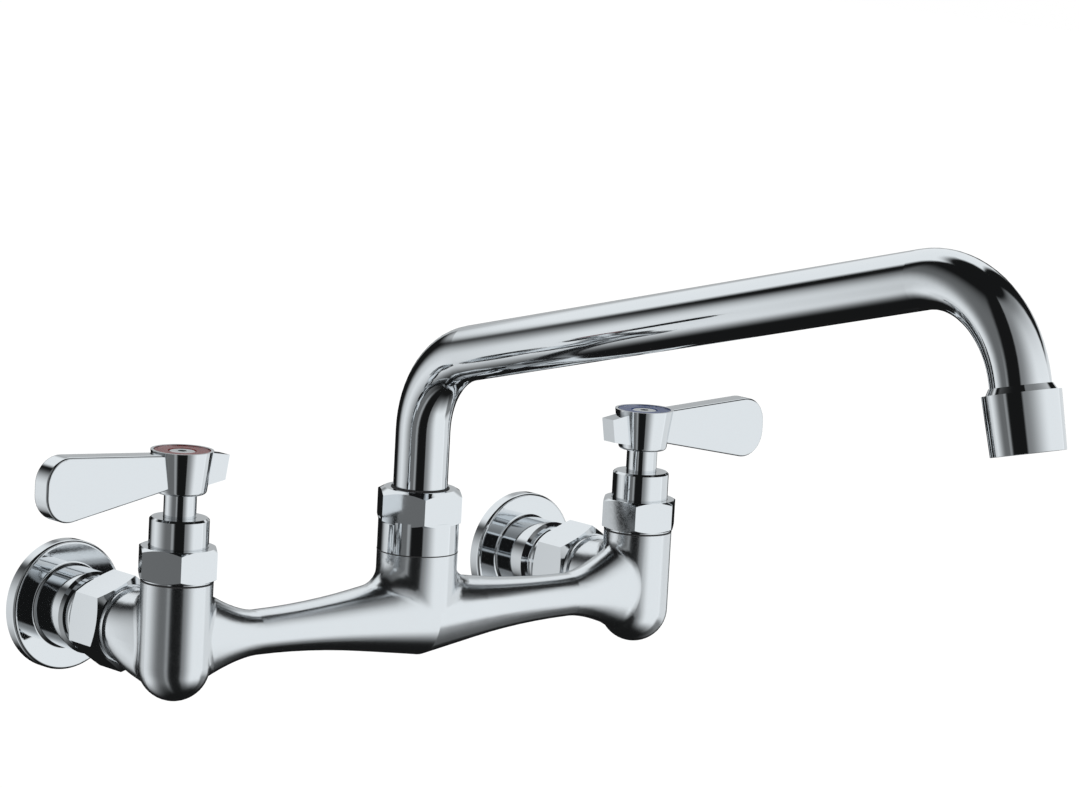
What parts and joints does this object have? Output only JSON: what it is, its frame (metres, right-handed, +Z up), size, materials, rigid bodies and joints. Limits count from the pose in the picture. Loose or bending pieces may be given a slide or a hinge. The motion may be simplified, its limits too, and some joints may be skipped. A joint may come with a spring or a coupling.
{
  "type": "wall-mounted kitchen faucet",
  "caption": "Wall-mounted kitchen faucet with round wall flanges, hexagon union nuts, lever handles and a long swinging spout with an aerator.",
  "frame": {"origin": "midway between the two inlets, in the wall plane, at the height of the inlet axes", "axes": "+X along the body from the hot side to the cold side, +Y into the wall, +Z up"},
  "size_m": [0.3142, 0.3524, 0.1774],
  "materials": {
    "chrome": "polished chrome plate",
    "brass": "turned",
    "steel": "plain",
    "rubber": "matte",
    "plastic": "matte",
    "ceramic": "polished",
    "red": "satin",
    "blue": "satin"
  },
  "bodies": {
    "body": {"body_casting": "chrome", "spout_nut": "chrome", "thrust_ring": "plastic", "swivel_bushing": "plastic", "inlet_flange_hot": "chrome", "union_nut_hot": "chrome", "union_washer_hot": "rubber", "neck_ring_hot": "steel", "bonnet_nut_hot": "chrome", "bonnet_washer_hot": "plastic", "cartridge_housing_hot": "chrome", "seat_gasket_hot": "rubber", "fixed_disc_hot": "ceramic", "inlet_flange_cold": "chrome", "union_nut_cold": "chrome", "union_washer_cold": "rubber", "neck_ring_cold": "steel", "bonnet_nut_cold": "chrome", "bonnet_washer_cold": "plastic", "cartridge_housing_cold": "chrome", "seat_gasket_cold": "rubber", "fixed_disc_cold": "ceramic"},
    "spout": {"spout_tube": "chrome", "spout_tail": "brass", "spout_rings": "rubber", "outlet_adapter": "chrome", "aerator_housing": "chrome", "aerator_washer": "rubber", "aerator_insert": "plastic", "aerator_screen": "steel"},
    "hot_handle": {"lever_hot": "chrome", "index_ring_hot": "red", "handle_screw_hot": "chrome", "valve_stem_hot": "chrome", "turning_disc_hot": "ceramic", "stem_rings_hot": "rubber", "stem_washer_hot": "plastic"},
    "cold_handle": {"lever_cold": "chrome", "index_ring_cold": "blue", "handle_screw_cold": "chrome", "valve_stem_cold": "chrome", "turning_disc_cold": "ceramic", "stem_rings_cold": "rubber", "stem_washer_cold": "plastic"}
  },
  "joints": [
    {"name": "spout_swivel", "type": "hinge", "parent": "body", "child": "spout", "pos_m": [0, -0.0645, 0.03], "axis": [0, 0, 1], "range_deg": [-100, 100]},
    {"name": "hot_handle_turn", "type": "hinge", "parent": "body", "child": "hot_handle", "pos_m": [-0.1016, -0.0645, 0.03], "axis": [0, 0, 1], "range_deg": [0, 90]},
    {"name": "cold_handle_turn", "type": "hinge", "parent": "body", "child": "cold_handle", "pos_m": [0.1016, -0.0645, 0.03], "axis": [0, 0, 1], "range_deg": [-90, 0]}
  ]
}
